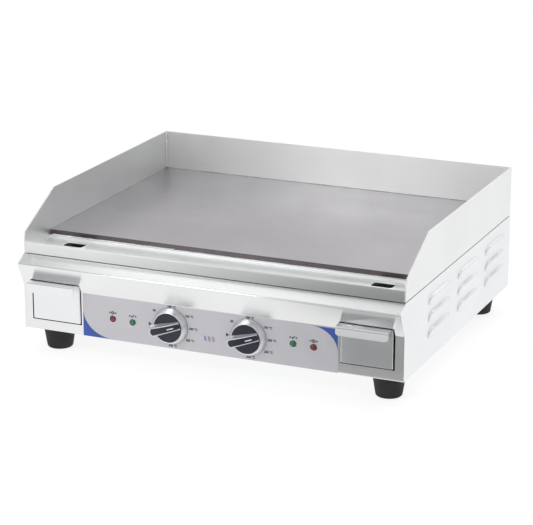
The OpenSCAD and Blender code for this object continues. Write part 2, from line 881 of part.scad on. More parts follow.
knob_skirt_right();
knob_body_right();
knob_trim_right();
thermostat_shaft_right();
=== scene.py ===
"""Looks of the flat top griddle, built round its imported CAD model.

Lengths in this script are in millimetres in the griddle's inner frame: x from the middle,
y from the front of the control panel towards the back, z up from the bottom of the casing.
place() turns them into metres in the shared frame.
"""

import math
import random

import bmesh
import bpy
from mathutils import Matrix, Vector


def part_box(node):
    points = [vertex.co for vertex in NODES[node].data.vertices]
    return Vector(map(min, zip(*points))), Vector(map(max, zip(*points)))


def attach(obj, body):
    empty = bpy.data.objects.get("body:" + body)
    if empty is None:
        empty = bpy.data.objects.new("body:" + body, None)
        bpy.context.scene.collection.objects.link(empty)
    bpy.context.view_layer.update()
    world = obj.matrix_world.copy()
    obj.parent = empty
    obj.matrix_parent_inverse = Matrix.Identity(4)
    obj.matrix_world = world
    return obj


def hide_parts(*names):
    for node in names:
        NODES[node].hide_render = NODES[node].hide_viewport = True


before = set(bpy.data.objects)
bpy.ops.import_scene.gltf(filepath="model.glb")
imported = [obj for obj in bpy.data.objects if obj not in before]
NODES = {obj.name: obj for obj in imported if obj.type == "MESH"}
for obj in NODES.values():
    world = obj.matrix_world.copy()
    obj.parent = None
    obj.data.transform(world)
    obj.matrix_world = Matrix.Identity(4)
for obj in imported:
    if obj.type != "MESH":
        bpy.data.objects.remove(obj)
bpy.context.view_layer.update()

PANEL_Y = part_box("control_label")[1].y
BASE_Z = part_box("rear_panel")[0].z
HALF_W = 300.0
CASING_TOP = 115.0
CASING_BACK = 481.8
BACK = 483.0
SHEET = 1.2
WALL = 2.0
WALL_BACK = 480.0
DECK = 116.2
PLATE_FRONT = 80.0
PLATE_TOP = 131.0
WALL_TOP = 193.5
DRAWER_X = 245.5
KNOBS = {"left": (-58.7, 34.2), "right": (64.7, 34.2)}
GRIP_TURN = math.radians(17)
LAMPS = {
    "power_lamp_lens_left": (-152.5, 32.8),
    "ready_lamp_lens_left": (-120.1, 31.6),
    "ready_lamp_lens_right": (133.8, 34.3),
    "power_lamp_lens_right": (165.1, 33.3),
}
LOUVRE_ROWS = [34, 59, 84]
LOUVRE_COLUMNS = [147.5, 277.5, 407.5]
PRINT = 0.4  # how far the face of the label stands in front of the panel


def place(x, y, z):
    """A point of the inner frame, in metres in the shared frame"""
    return Vector((x / 1000, PANEL_Y + y / 1000, BASE_Z + z / 1000))


# ---- Materials ---------------------------------------------------------------------------

class Graph:
    """Short names for the nodes of one material"""

    def __init__(self, name):
        self.material = bpy.data.materials.new(name)
        self.material.use_nodes = True
        self.tree = self.material.node_tree
        self.shader = self.tree.nodes["Principled BSDF"]
        self.coordinates = self.tree.nodes.new("ShaderNodeTexCoord").outputs["Object"]

    def node(self, kind, inputs=(), **settings):
        """A new node with its inputs and settings filled in"""
        node = self.tree.nodes.new(kind)
        for key, value in settings.items():
            setattr(node, key, value)
        for key, value in dict(inputs).items():
            self.set(node.inputs[key], value)
        return node

    def set(self, socket, value):
        """Links an output to a socket, or gives the socket a plain value"""
        if isinstance(value, bpy.types.NodeSocket):
            self.tree.links.new(value, socket)
        else:
            socket.default_value = value

    def noise(self, stretch, detail=4.0, roughness=0.6):
        """Noise with its own number of grains per metre along each axis"""
        mapping = self.node("ShaderNodeMapping", {"Vector": self.coordinates, "Scale": stretch})
        texture = self.node("ShaderNodeTexNoise", {
            "Vector": mapping.outputs["Vector"], "Scale": 1.0, "Detail": detail,
            "Roughness": roughness})
        return texture.outputs["Fac"]

    def between(self, factor, low, high, start=0.3, end=0.7):
        """A factor that runs from start to end, spread over low to high"""
        node = self.node("ShaderNodeMapRange", {
            "Value": factor, "From Min": start, "From Max": end, "To Min": low, "To Max": high})
        return node.outputs["Result"]

    def mix(self, factor, first, second):
        """A colour between two others"""
        node = self.node("ShaderNodeMix", data_type="RGBA")
        self.set(node.inputs["Factor"], factor)
        self.set(node.inputs[6], first)
        self.set(node.inputs[7], second)
        return node.outputs[2]

    def bump(self, height, strength, distance, normal=None):
        """A normal tilted by a height, on top of another normal if one is given"""
        inputs = {"Height": height, "Strength": strength, "Distance": distance}
        if normal:
            inputs["Normal"] = normal
        return self.node("ShaderNodeBump", inputs).outputs["Normal"]


def shade(color, factor):
    """A lighter or darker version of a colour"""
    return tuple(min(c * factor, 1.0) for c in color[:3]) + (1.0,)


def sheet_steel(name, color, rough, grain, spread=0.03, clouds=0.03, bump=0.02, marks=0.12,
                streak=0.0, lip=None):
    """Brushed sheet metal: long fine grain, cloudy tone, and a few faint rubbed marks

    lip is the y in front of which the sheet is darkened by painted shade, more so towards the
    right"""
    g = Graph(name)
    fine = g.noise(grain, detail=3.0, roughness=0.5)
    cloud = g.noise((6, 6, 6), detail=2.0)
    rubbed = g.noise((14, 11, 12), detail=3.0, roughness=0.6)
    tone = g.mix(g.between(cloud, 0, 1), shade(color, 1 - clouds), shade(color, 1 + clouds))
    # painted shade: the lip's upright face is darkened, more towards the right
    if lip:
        spot = g.node("ShaderNodeSeparateXYZ", {"Vector": g.coordinates})
        edge = place(0, lip, 0).y
        painted_lip_shade = g.mix(g.between(spot.outputs["X"], 0, 1, -0.20, 0.26),
                     shade(color, 0.88), shade(color, 0.50))
        tone = g.mix(g.between(spot.outputs["Y"], 1, 0, edge, edge + 0.001), tone, painted_lip_shade)
    lines = g.mix(g.between(fine, 0, 1, 0.35, 0.65), shade((1, 1, 1), 1 - spread), (1, 1, 1, 1))
    both = g.node("ShaderNodeMix", data_type="RGBA", blend_type="MULTIPLY")
    g.set(both.inputs["Factor"], 1.0)
    g.set(both.inputs[6], tone)
    g.set(both.inputs[7], lines)
    g.set(g.shader.inputs["Base Color"], both.outputs[2])
    rough_fine = g.between(fine, rough * (1 - marks * 0.5), rough * (1 + marks * 0.5))
    rough_marks = g.between(rubbed, -rough * marks * 0.4, rough * marks * 0.6, 0.42, 0.68)
    total = g.node("ShaderNodeMath", operation="ADD")
    g.set(total.inputs[0], rough_fine)
    g.set(total.inputs[1], rough_marks)
    g.set(g.shader.inputs["Roughness"], total.outputs[0])
    g.shader.inputs["Metallic"].default_value = 1.0
    if streak:
        g.shader.inputs["Anisotropic"].default_value = streak
        upwards = g.node("ShaderNodeCombineXYZ", {"Y": 0.6, "Z": 1.0})
        g.set(g.shader.inputs["Tangent"], upwards.outputs["Vector"])
    g.set(g.shader.inputs["Normal"], g.bump(fine, bump, 0.0003))
    return g.material


def moulded(name, color, rough, scale=900, bump=0.1, spread=0.12, metallic=0.0):
    """Plastic, rubber or fibre with a fine texture and slightly uneven tone"""
    g = Graph(name)
    grit = g.noise((scale, scale, scale), detail=3.0)
    cloud = g.noise((40, 40, 40), detail=4.0)
    g.set(g.shader.inputs["Base Color"],
          g.mix(g.between(cloud, 0, 1), shade(color, 1 - spread), shade(color, 1 + spread)))
    g.set(g.shader.inputs["Roughness"], g.between(cloud, rough * 0.88, min(rough * 1.14, 1.0)))
    g.shader.inputs["Metallic"].default_value = metallic
    g.set(g.shader.inputs["Normal"], g.bump(grit, bump, 0.0002))
    return g.material


def plate_steel(name):
    """Thick ground plate, seasoned: fine cross scratches, darker heat clouds, violet tint"""
    g = Graph(name)
    along = g.noise((8, 500, 500), detail=3.0)
    swirl = g.noise((90, 70, 90), detail=4.0, roughness=0.6)
    heat = g.noise((4.5, 5.5, 4.5), detail=4.0, roughness=0.55)
    base = g.mix(g.between(heat, 0, 1), (0.355, 0.335, 0.352, 1), (0.44, 0.42, 0.432, 1))
    scuffed = g.mix(g.between(swirl, 0, 0.25, 0.5, 0.8), base, (0.52, 0.505, 0.51, 1))
    spot = g.node("ShaderNodeSeparateXYZ", {"Vector": g.coordinates})
    edge = place(0, PLATE_FRONT, 0).y
    front = g.between(spot.outputs["Y"], 1, 0, edge + 0.0003, edge + 0.0012)
    g.set(g.shader.inputs["Base Color"], g.mix(front, scuffed, (0.13, 0.115, 0.125, 1)))
    g.shader.inputs["Metallic"].default_value = 1.0
    rough = g.node("ShaderNodeMath", operation="ADD")
    g.set(rough.inputs[0], g.between(along, 0.28, 0.34))
    g.set(rough.inputs[1], g.between(swirl, -0.02, 0.05))
    g.set(g.shader.inputs["Roughness"], rough.outputs[0])
    g.set(g.shader.inputs["Normal"], g.bump(swirl, 0.03, 0.0004, g.bump(along, 0.03, 0.0003)))
    return g.material


def turned_metal(name, color, rough):
    """Satin metal turned on a lathe about the Y axis"""
    g = Graph(name)
    grit = g.noise((700, 700, 700), detail=3.0)
    cloud = g.noise((60, 60, 60), detail=3.0)
    g.set(g.shader.inputs["Base Color"],
          g.mix(g.between(cloud, 0, 1), shade(color, 0.96), shade(color, 1.04)))
    g.set(g.shader.inputs["Roughness"], g.between(grit, rough * 0.94, rough * 1.06))
    g.shader.inputs["Metallic"].default_value = 1.0
    g.shader.inputs["Anisotropic"].default_value = 0.6
    tangent = g.node("ShaderNodeTangent", direction_type="RADIAL", axis="Y")
    g.set(g.shader.inputs["Tangent"], tangent.outputs["Tangent"])
    g.set(g.shader.inputs["Normal"], g.bump(grit, 0.01, 0.0002))
    return g.material


def lens(name, color, glow):
    """Ribbed translucent plastic of a pilot lamp, seen unlit, with a faint painted glow"""
    g = Graph(name)
    cloud = g.noise((300, 300, 300), detail=3.0)
    g.set(g.shader.inputs["Base Color"],
          g.mix(g.between(cloud, 0, 1), shade(color, 0.7), shade(color, 1.5)))
    g.set(g.shader.inputs["Roughness"], g.between(cloud, 0.16, 0.3))
    g.shader.inputs["Subsurface Weight"].default_value = 0.25
    g.shader.inputs["Subsurface Scale"].default_value = 0.002
    g.shader.inputs["Coat Weight"].default_value = 0.6
    g.shader.inputs["Coat Roughness"].default_value = 0.1
    # painted glow: the unlit lens emits a little light of its own colour
    g.shader.inputs["Emission Color"].default_value = glow + (1.0,)
    g.shader.inputs["Emission Strength"].default_value = 0.015
    g.set(g.shader.inputs["Normal"], g.bump(cloud, 0.2, 0.0002))
    return g.material


MATERIALS = {
    "casing_steel": sheet_steel("casing_steel", (0.85, 0.86, 0.87), 0.30, (500, 8, 500),
                                spread=0.012, bump=0.008, marks=0.06),
    "visor_steel": sheet_steel("visor_steel", (0.845, 0.85, 0.85), 0.22, (6, 600, 600),
                               spread=0.012, bump=0.001, marks=0.06, streak=0.8),
    "deck_steel": sheet_steel("deck_steel", (0.89, 0.90, 0.895), 0.42, (6, 600, 600),
                              spread=0.02),
    # lip=3.4 paints shade on the upright face of the gutter lip
    "pan_steel": sheet_steel("pan_steel", (0.88, 0.89, 0.89), 0.50, (6, 500, 500), spread=0.012,
                             lip=3.4, bump=0.003, marks=0.06),
    # near black: baked grease, and painted shade of the deep drain hole
    "spout_steel": sheet_steel("spout_steel", (0.10, 0.098, 0.095), 0.5, (200, 200, 60),
                               spread=0.3, clouds=0.3),
    "wall_steel": sheet_steel("wall_steel", (0.87, 0.88, 0.875), 0.42, (500, 8, 500),
                              spread=0.015, bump=0.01),
    "drawer_steel": sheet_steel("drawer_steel", (0.84, 0.855, 0.865), 0.25, (6, 600, 600),
                                spread=0.012, bump=0.001, marks=0.06, streak=0.5),
    "plate_steel": plate_steel("plate_steel"),
    "weld": sheet_steel("weld", (0.80, 0.78, 0.76), 0.34, (300, 300, 300), spread=0.15,
                        clouds=0.1, bump=0.2),
    "gasket": moulded("gasket", (0.03, 0.03, 0.03), 0.8),
    "galvanised": sheet_steel("galvanised", (0.55, 0.57, 0.59), 0.42, (60, 60, 60), spread=0.15,
                              clouds=0.1),
    "label": moulded("label", (0.54, 0.53, 0.56), 0.42, scale=1500, bump=0.03, spread=0.02,
                     metallic=0.3),
    "bezel": turned_metal("bezel", (0.82, 0.82, 0.82), 0.18),
    "lens_red": lens("lens_red", (0.13, 0.008, 0.016), (0.5, 0.02, 0.03)),
    "lens_green": lens("lens_green", (0.022, 0.12, 0.055), (0.05, 0.5, 0.2)),
    "knob_dark": moulded("knob_dark", (0.009, 0.013, 0.026), 0.30, scale=1400, bump=0.04,
                         spread=0.1),
    "knob_silver": turned_metal("knob_silver", (0.68, 0.685, 0.70), 0.32),
    "knob_grip": moulded("knob_grip", (0.60, 0.61, 0.63), 0.36, scale=1200, bump=0.03,
                         spread=0.04, metallic=0.6),
    "rubber_black": moulded("rubber_black", (0.006, 0.0055, 0.0045), 0.75, scale=700, bump=0.25,
                            spread=0.25),
    "zinc": sheet_steel("zinc", (0.62, 0.62, 0.60), 0.30, (150, 150, 150), spread=0.1,
                        clouds=0.08),
    "bakelite": moulded("bakelite", (0.06, 0.05, 0.045), 0.55),
    "copper": moulded("copper", (0.60, 0.33, 0.20), 0.30, scale=400, bump=0.1, spread=0.15,
                      metallic=1.0),
    "element": moulded("element", (0.10, 0.085, 0.075), 0.55, scale=500, bump=0.3, spread=0.3,
                       metallic=0.6),
    "mineral_wool": moulded("mineral_wool", (0.72, 0.68, 0.58), 0.95, scale=260, bump=1.0,
                            spread=0.2),
    "nylon": moulded("nylon", (0.03, 0.03, 0.03), 0.45),
    "porcelain": moulded("porcelain", (0.78, 0.77, 0.73), 0.35, scale=500, bump=0.1, spread=0.05),
    "cable_pvc": moulded("cable_pvc", (0.09, 0.09, 0.095), 0.5),
    "brass": moulded("brass", (0.72, 0.55, 0.25), 0.28, scale=500, bump=0.1, spread=0.1,
                     metallic=1.0),
    "print_black": moulded("print_black", (0.008, 0.008, 0.01), 0.5, scale=1500, bump=0.05),
    "print_blue": moulded("print_blue", (0.035, 0.085, 0.36), 0.42, scale=1500, bump=0.05,
                          spread=0.08),
    "print_violet": moulded("print_violet", (0.07, 0.06, 0.28), 0.42, scale=1500, bump=0.05,
                            spread=0.08),
    "print_red": moulded("print_red", (0.42, 0.025, 0.035), 0.42, scale=1500, bump=0.05,
                         spread=0.08),
    "print_white": moulded("print_white", (0.62, 0.63, 0.66), 0.4, scale=1500, bump=0.05,
                           spread=0.05),
}


# ---- Mesh helpers ------------------------------------------------------------------------

class Shape:
    """Vertices and faces gathered from several parts, in millimetres"""

    def __init__(self):
        self.verts = []
        self.faces = []

    def add(self, verts, faces):
        """Adds vertices, and faces that count from the first of them"""
        base = len(self.verts)
        self.verts += [tuple(v) for v in verts]
        self.faces += [tuple(base + i for i in face) for face in faces]
        return self

    def prism(self, loop, shift):
        """A closed loop of points, pushed along a vector"""
        n = len(loop)
        top = [(p[0] + shift[0], p[1] + shift[1], p[2] + shift[2]) for p in loop]
        sides = [(i, (i + 1) % n, n + (i + 1) % n, n + i) for i in range(n)]
        ends = [tuple(range(n)), tuple(range(2 * n - 1, n - 1, -1))]
        return self.add(list(loop) + top, ends + sides)

    def grid(self, rows, close_u=False, close_v=False, caps=False):
        """Quads over rows of points"""
        n, m = len(rows), len(rows[0])
        faces = []
        for i in range(n if close_u else n - 1):
            for j in range(m if close_v else m - 1):
                a, b = i, (i + 1) % n
                c, d = j, (j + 1) % m
                faces.append((a * m + c, a * m + d, b * m + d, b * m + c))
        if caps:
            faces += [tuple(range(m)), tuple(range((n - 1) * m, n * m))]
        return self.add([p for row in rows for p in row], faces)

    def lathe(self, profile, centre, axis="y", n=64, closed=True):
        """(radius, travel) points turned round an axis; travel runs towards -y or +z"""
        rows = []
        for i in range(n):
            a = 2 * math.pi * i / n
            row = []
            for r, t in profile:
                u, v = r * math.cos(a), r * math.sin(a)
                if axis == "y":
                    row.append((centre[0] + u, centre[1] - t, centre[2] + v))
                else:
                    row.append((centre[0] + u, centre[1] + v, centre[2] + t))
            rows.append(row)
        return self.grid(rows, close_u=True, close_v=closed)

    def tube(self, points, radii, n=10):
        """A round bar along a path, as thick at each point as its radius says"""
        path = [Vector(p) for p in points]
        side = None
        rows = []
        for i, p in enumerate(path):
            ahead = (path[min(i + 1, len(path) - 1)] - path[max(i - 1, 0)]).normalized()
            if side is None:
                side = ahead.orthogonal().normalized()
            side = (side - ahead * side.dot(ahead)).normalized()
            other = ahead.cross(side)
            rows.append([p + radii[i] * (math.cos(a) * side + math.sin(a) * other)
                         for a in (2 * math.pi * k / n for k in range(n))])
        return self.grid(rows, close_v=True, caps=True)

    def turned(self, start, matrix):
        """Applies a matrix to the vertices from one index on"""
        for i in range(start, len(self.verts)):
            self.verts[i] = tuple(matrix @ Vector(self.verts[i]))
        return self


def soft_edges(obj, width, angle=35):
    """A small bevel along the edges that are sharper than the angle in degrees"""
    bevel = obj.modifiers.new("soft_edges", "BEVEL")
    bevel.width = width / 1000
    bevel.segments = 2
    bevel.limit_method = "ANGLE"
    bevel.angle_limit = math.radians(angle)
    bevel.harden_normals = True


def finish_mesh(obj, material, body, replaces=(), slot=None, angle=35, soften=0.0):
    """Gives a mesh its material, shading and soft edges, and tells the frame what it is"""
    mesh = obj.data
    mesh.materials.clear()
    mesh.materials.append(MATERIALS[material])
    mesh.shade_smooth()
    mesh.set_sharp_from_angle(angle=math.radians(angle))
    if soften:
        soft_edges(obj, soften, angle)
    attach(obj, body)
    if replaces:
        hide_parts(*replaces)
    return obj


def new_object(name, shape):
    """An object in the scene from a Shape, with shared vertices joined"""
    mesh = bpy.data.meshes.new(name)
    mesh.from_pydata([place(*v) for v in shape.verts], [], shape.faces)
    work = bmesh.new()
    work.from_mesh(mesh)
    bmesh.ops.remove_doubles(work, verts=work.verts, dist=2e-6)
    bmesh.ops.recalc_face_normals(work, faces=work.faces)
    work.to_mesh(mesh)
    work.free()
    obj = bpy.data.objects.new(name, mesh)
    bpy.context.scene.collection.objects.link(obj)
    return obj


def piece(name, shape, material, body="griddle", **options):
    """A finished piece of the griddle from a Shape"""
    return finish_mesh(new_object(name, shape), material, body, **options)


def applied(obj):
    """Bakes an object's modifiers into its mesh"""
    graph = bpy.context.evaluated_depsgraph_get()
    mesh = bpy.data.meshes.new_from_object(obj.evaluated_get(graph))
    obj.modifiers.clear()
    obj.data = mesh
    return obj


def cut(obj, cutter_shape):
    """Cuts a Shape out of an object"""
    cutter = new_object(obj.name + "_cutter", cutter_shape)
    modifier = obj.modifiers.new("cut", "BOOLEAN")
    modifier.operation = "DIFFERENCE"
    modifier.solver = "EXACT"
    modifier.object = cutter
    bpy.context.view_layer.update()
    applied(obj)
    bpy.data.objects.remove(cutter)
    return obj


def sweep(cx, cz, rx, rz, start, end, steps=16):
    """Points on an ellipse from just past one angle in degrees up to another"""
    angles = [math.radians(start + (end - start) * k / steps) for k in range(1, steps + 1)]
    return [(cx + rx * math.cos(a), cz + rz * math.sin(a)) for a in angles]


def arc(cx, cy, r, start, end, steps):
    """Points on a circle from one angle in degrees to another"""
    return [(cx + r * math.cos(math.radians(start + (end - start) * i / steps)),
             cy + r * math.sin(math.radians(start + (end - start) * i / steps)))
            for i in range(steps + 1)]


def rounded(points, radii, steps=6):
    """A closed 2D outline with each corner rounded by its own radius"""
    result = []
    n = len(points)
    for i in range(n):
        r = radii[i]
        here = Vector(points[i])
        if not r:
            result.append(tuple(here))
            continue
        back = (Vector(points[i - 1]) - here).normalized()
        on = (Vector(points[(i + 1) % n]) - here).normalized()
        half = back.angle(on) / 2
        reach = r / math.tan(half)
        centre = here + (back + on).normalized() * (r / math.sin(half))
        start, end = here + back * reach - centre, here + on * reach - centre
        turn = start.angle(end)
        sign = 1 if start.x * end.y - start.y * end.x > 0 else -1
        for k in range(steps + 1):
            a = sign * turn * k / steps
            result.append((centre.x + start.x * math.cos(a) - start.y * math.sin(a),
                           centre.y + start.x * math.sin(a) + start.y * math.cos(a)))
    return result


def rounded_box(shape, low, high, r):
    """A block with its four edges along Y rounded"""
    x0, y0, z0 = low
    x1, y1, z1 = high
    outline = rounded([(x0, z0), (x1, z0), (x1, z1), (x0, z1)], [r] * 4, 5)
    return shape.prism([(x, y0, z) for x, z in outline], (0, y1 - y0, 0))


# ---- CAD nodes that keep their shape -----------------------------------------------------

# Each node's material, and how wide its edges are softened; 0 leaves them sharp
KEPT = {
    "front_fascia": ("visor_steel", 0.25), "rear_panel": ("casing_steel", 0.0),
    "base_plate": ("galvanised", 0.0), "control_label": ("label", 0.0),
    "cooking_plate": ("plate_steel", 0.5), "plate_rails": ("galvanised", 0.0),
    "deck_gasket": ("gasket", 0.0), "heat_shield": ("galvanised", 0.0),
    "insulation_blanket": ("mineral_wool", 1.5), "element_clamps": ("galvanised", 0.0),
    "high_limit_cutouts": ("bakelite", 0.3), "terminal_block": ("porcelain", 0.5),
    "wiring_loom": ("cable_pvc", 0.0), "cable_gland": ("nylon", 0.3),
    "gland_locknut": ("nylon", 0.2), "earth_stud": ("brass", 0.15),
    "foot_screws": ("zinc", 0.2), "thermostat_screws": ("zinc", 0.2),
}
KEPT_PAIRS = {
    "drain_spout": ("spout_steel", 0.2), "drawer_runners": ("galvanised", 0.0),
    "drawer_box": ("drawer_steel", 0.3), "thermostat": ("bakelite", 0.4),
    "thermostat_shaft": ("zinc", 0.0), "capillary_bulb": ("copper", 0.0),
    "heating_element": ("element", 0.0),
}
for node, look in KEPT_PAIRS.items():
    KEPT[node + "_left"] = KEPT[node + "_right"] = look

for node, (material, soften) in KEPT.items():
    obj = NODES[node]
    if not obj.material_slots:
        obj.data.materials.append(MATERIALS[material])
    for slot in obj.material_slots:
        slot.material = MATERIALS[material]
    if soften:
        weld = obj.modifiers.new("weld", "WELD")
        weld.merge_threshold = 1e-6
        soft_edges(obj, soften)


# ---- Side panels with pressed louvres ----------------------------------------------------

HOOD_TOP = 13.0
HOOD_H = 13.2
HOOD_DEPTH = 4.5
HOOD_STEP = 0.24
HOOD_SHEET = 0.9


def hood(side, column, row, rows=24, columns=40):
    """One louvre: steps out at its top, then runs level to an open, overhanging edge"""
    sheet = []
    for i in range(rows + 1):
        v = i / rows
        half = 38 + 11 * math.sin(v * math.pi / 2) ** 0.7
        rise = (1 - math.cos(min(v / HOOD_STEP, 1) * math.pi)) / 2
        line = []
        for j in range(columns + 1):
            u = -math.cos(math.pi * j / columns)
            depth = HOOD_DEPTH * rise * (1 - abs(u) ** 5) ** 0.55
            line.append((side * (HALF_W + depth - 0.05), column + u * half,
                         row + HOOD_TOP - HOOD_H * v))
        sheet.append(line)
    return sheet


def side_panel(side, name):
    """A flanged side sheet with louvres, cut to follow the visor at its front"""
    outline = rounded([(0, 0), (0, 67), (-18, 103.7), (3, CASING_TOP),
                       (CASING_BACK, CASING_TOP), (CASING_BACK, 0)], [0, 3, 2.2, 3, 0, 0])
    inner = side * (HALF_W - SHEET)
    shape = Shape().prism([(inner, y, z) for y, z in outline], (side * SHEET, 0, 0))
    flange = side * (HALF_W - 15)
    for low, high in (((30, CASING_TOP - SHEET), (463, CASING_TOP)), ((18, 0), (463, SHEET)),
                      ((CASING_BACK - SHEET, 6), (CASING_BACK, 109))):
        shape.prism([(flange, low[0], low[1]), (flange, high[0], low[1]),
                     (flange, high[0], high[1]), (flange, low[0], high[1])],
                    (inner - flange, 0, 0))
    panel = new_object(name, shape)
    slots = Shape()
    for column in LOUVRE_COLUMNS:
        for row in LOUVRE_ROWS:
            mouth = rounded([(column - 44, row + 0.6), (column + 44, row + 0.6),
                             (column + 36, row + 10.5), (column - 36, row + 10.5)],
                            [1, 1, 4, 4], 4)
            slots.prism([(side * (HALF_W - 3), y, z) for y, z in mouth], (side * 6, 0, 0))
    cut(panel, slots)
    finish_mesh(panel, "casing_steel", "griddle", replaces=[name], soften=0.25)
    hoods = Shape()
    for column in LOUVRE_COLUMNS:
        for row in LOUVRE_ROWS:
            hoods.grid(hood(side, column, row))
    obj = new_object(name + "_louvres", hoods)
    skin = obj.modifiers.new("sheet", "SOLIDIFY")
    skin.thickness = HOOD_SHEET / 1000
    skin.offset = 1.0 if obj.data.polygons[0].normal.x * side < 0 else -1.0
    finish_mesh(obj, "casing_steel", "griddle", angle=60)


side_panel(-1, "side_panel_left")
side_panel(1, "side_panel_right")


# ---- Gutter ------------------------------------------------------------------------------

FLOOR = DECK + SHEET
PAN = rounded([(6.6, 123.7), (6.6, 132.7), (3, 132.7), (3, DECK - 0.9), (12, DECK - 0.9),
               (15, DECK), (80, DECK), (80, 121.8),
               (95, 121.8), (95, 123), (78.8, 123), (78.8, FLOOR), (4.2, FLOOR), (4.2, 131.5),
               (5.4, 131.5), (5.4, 123.7)],
              [0, 1.7, 1.7, 1.2, 0, 0, 1.6, 1.6, 0, 0, 2.8, 1.2, 1.2, 0.5, 0.5, 0])
DRAIN_CORNER = 4.5
DRAIN_LOW, DRAIN_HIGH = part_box("drain_spout_left")
DRAIN_W = (DRAIN_HIGH.x - DRAIN_LOW.x) * 1000
DRAIN_L = (DRAIN_HIGH.y - DRAIN_LOW.y) * 1000
DRAIN_Y = ((DRAIN_LOW.y + DRAIN_HIGH.y) / 2 - PANEL_Y) * 1000 - PRINT


def drain_outline(side, grow):
    """The outline of one drain hole, grown evenly"""
    x, y = side * DRAWER_X, DRAIN_Y
    w, l = DRAIN_W / 2 + grow, DRAIN_L / 2 + grow
    corners = [(x - w, y - l), (x + w, y - l), (x + w, y + l), (x - w, y + l)]
    return rounded(corners, [DRAIN_CORNER + grow] * 4, 6)


pan = new_object("gutter_pan", Shape().prism(
    [(WALL - HALF_W, y, z) for y, z in PAN], (2 * (HALF_W - WALL), 0, 0)))
holes = Shape()
for side in (-1, 1):
    holes.prism([(x, y, DECK - 3) for x, y in drain_outline(side, 0)], (0, 0, 6))
cut(pan, holes)
finish_mesh(pan, "pan_steel", "griddle", slot="deck_steel", replaces=["gutter_pan"], angle=30)
rims = Shape()
for side in (-1, 1):
    section = [(0.05, -1.0), (0.05, 0.5), (0.5, 1.0), (1.4, 1.15), (2.3, 0.9), (3.0, 0.3),
               (3.4, -0.1), (3.4, -0.6)]
    rims.grid([[(x, y, FLOOR + height) for x, y in drain_outline(side, grow)]
               for grow, height in section], close_u=True, close_v=True)
piece("drain_rims", rims, "pan_steel", slot="deck_steel", angle=60)


# ---- Splash walls and welds --------------------------------------------------------------

WALL_OUTLINE = rounded([(2.5, DECK), (2.5, 146), (96, WALL_TOP), (WALL_BACK, WALL_TOP),
                        (WALL_BACK, DECK)], [0, 14, 5, 0, 0], 8)
for side, name in ((-1, "splash_wall_left"), (1, "splash_wall_right")):
    x = side * (HALF_W - WALL)
    wall = Shape().prism([(x, y, z) for y, z in WALL_OUTLINE], (side * WALL, 0, 0))
    piece(name, wall, "wall_steel", slot="deck_steel", replaces=[name], soften=0.45)

back = Shape().prism([(-HALF_W, WALL_BACK, DECK), (HALF_W, WALL_BACK, DECK),
                      (HALF_W, WALL_BACK, WALL_TOP), (-HALF_W, WALL_BACK, WALL_TOP)],
                     (0, WALL, 0))
piece("splash_wall_back", back, "deck_steel", replaces=["splash_wall_back"], soften=0.45)


def bead(start, end, radius, seed, pitch=2.2, ripple=0.22, wander=0.25):
    """A hand-laid weld: overlapping ripples that swell and wander a little"""
    rng = random.Random(seed)
    a, b = Vector(start), Vector(end)
    count = max(int((b - a).length / (pitch / 4)), 8)
    swell, drift = 0.0, Vector((0, 0, 0))
    points, radii = [], []
    for i in range(count + 1):
        if i % 4 == 0:
            swell = 0.75 * swell + rng.uniform(-0.16, 0.16)
            drift = drift * 0.8 + Vector([rng.uniform(-wander, wander) for _ in range(3)]) * 0.4
        phase = (i % 4) / 4
        points.append(a.lerp(b, i / count) + drift)
        radii.append(radius * (1 + swell + ripple * (0.5 - phase)))
    radii[0] *= 0.5
    radii[-1] *= 0.5
    return points, radii


inner = HALF_W - WALL
HEAVY_END = -90
foot_line = Shape()
foot_line.tube(*bead((4 - inner, PLATE_FRONT - 0.4, 123.4), (HEAVY_END, PLATE_FRONT - 0.4, 123.4),
                     1.5, 11, ripple=0.3), n=8)
foot_line.tube(*bead((HEAVY_END, PLATE_FRONT - 0.2, 123.2), (inner - 4, PLATE_FRONT - 0.2, 123.2),
                     0.8, 13, ripple=0.06, wander=0.05), n=8)
piece("plate_weld_beads", foot_line, "weld", replaces=["plate_weld_beads"], angle=80)
edge_line = Shape()
edge_line.tube(*bead((4 - inner, WALL_BACK - 0.3, PLATE_TOP),
                     (inner - 4, WALL_BACK - 0.3, PLATE_TOP), 0.8, 12), n=8)
for side in (-1, 1):
    edge_line.tube(*bead((side * (inner - 0.3), PLATE_FRONT + 3, PLATE_TOP),
                         (side * (inner - 0.3), WALL_BACK - 4, PLATE_TOP), 0.8, 20 + side), n=8)
piece("plate_edge_beads", edge_line, "plate_steel", replaces=["plate_weld_beads"], angle=80)

corners = Shape()
for side in (-1, 1):
    corners.tube(*bead((side * (inner - 0.7), WALL_BACK - 0.7, PLATE_TOP + 1),
                       (side * (inner - 0.7), WALL_BACK - 0.7, WALL_TOP - 0.6), 2.2, 30 + side,
                       pitch=3.0, ripple=0.3), n=10)
piece("splash_corner_welds", corners, "weld", replaces=["splash_corner_welds"], angle=80)


# ---- Drawer fronts -----------------------------------------------------------------------

FRONT_Y = -2.0
FRONT_Z = (17.5, 75.0)
LEDGE_TOP = 77.6
REACH = -21.2
LIP_H = 10.5
LIP_LEAN = 0.09


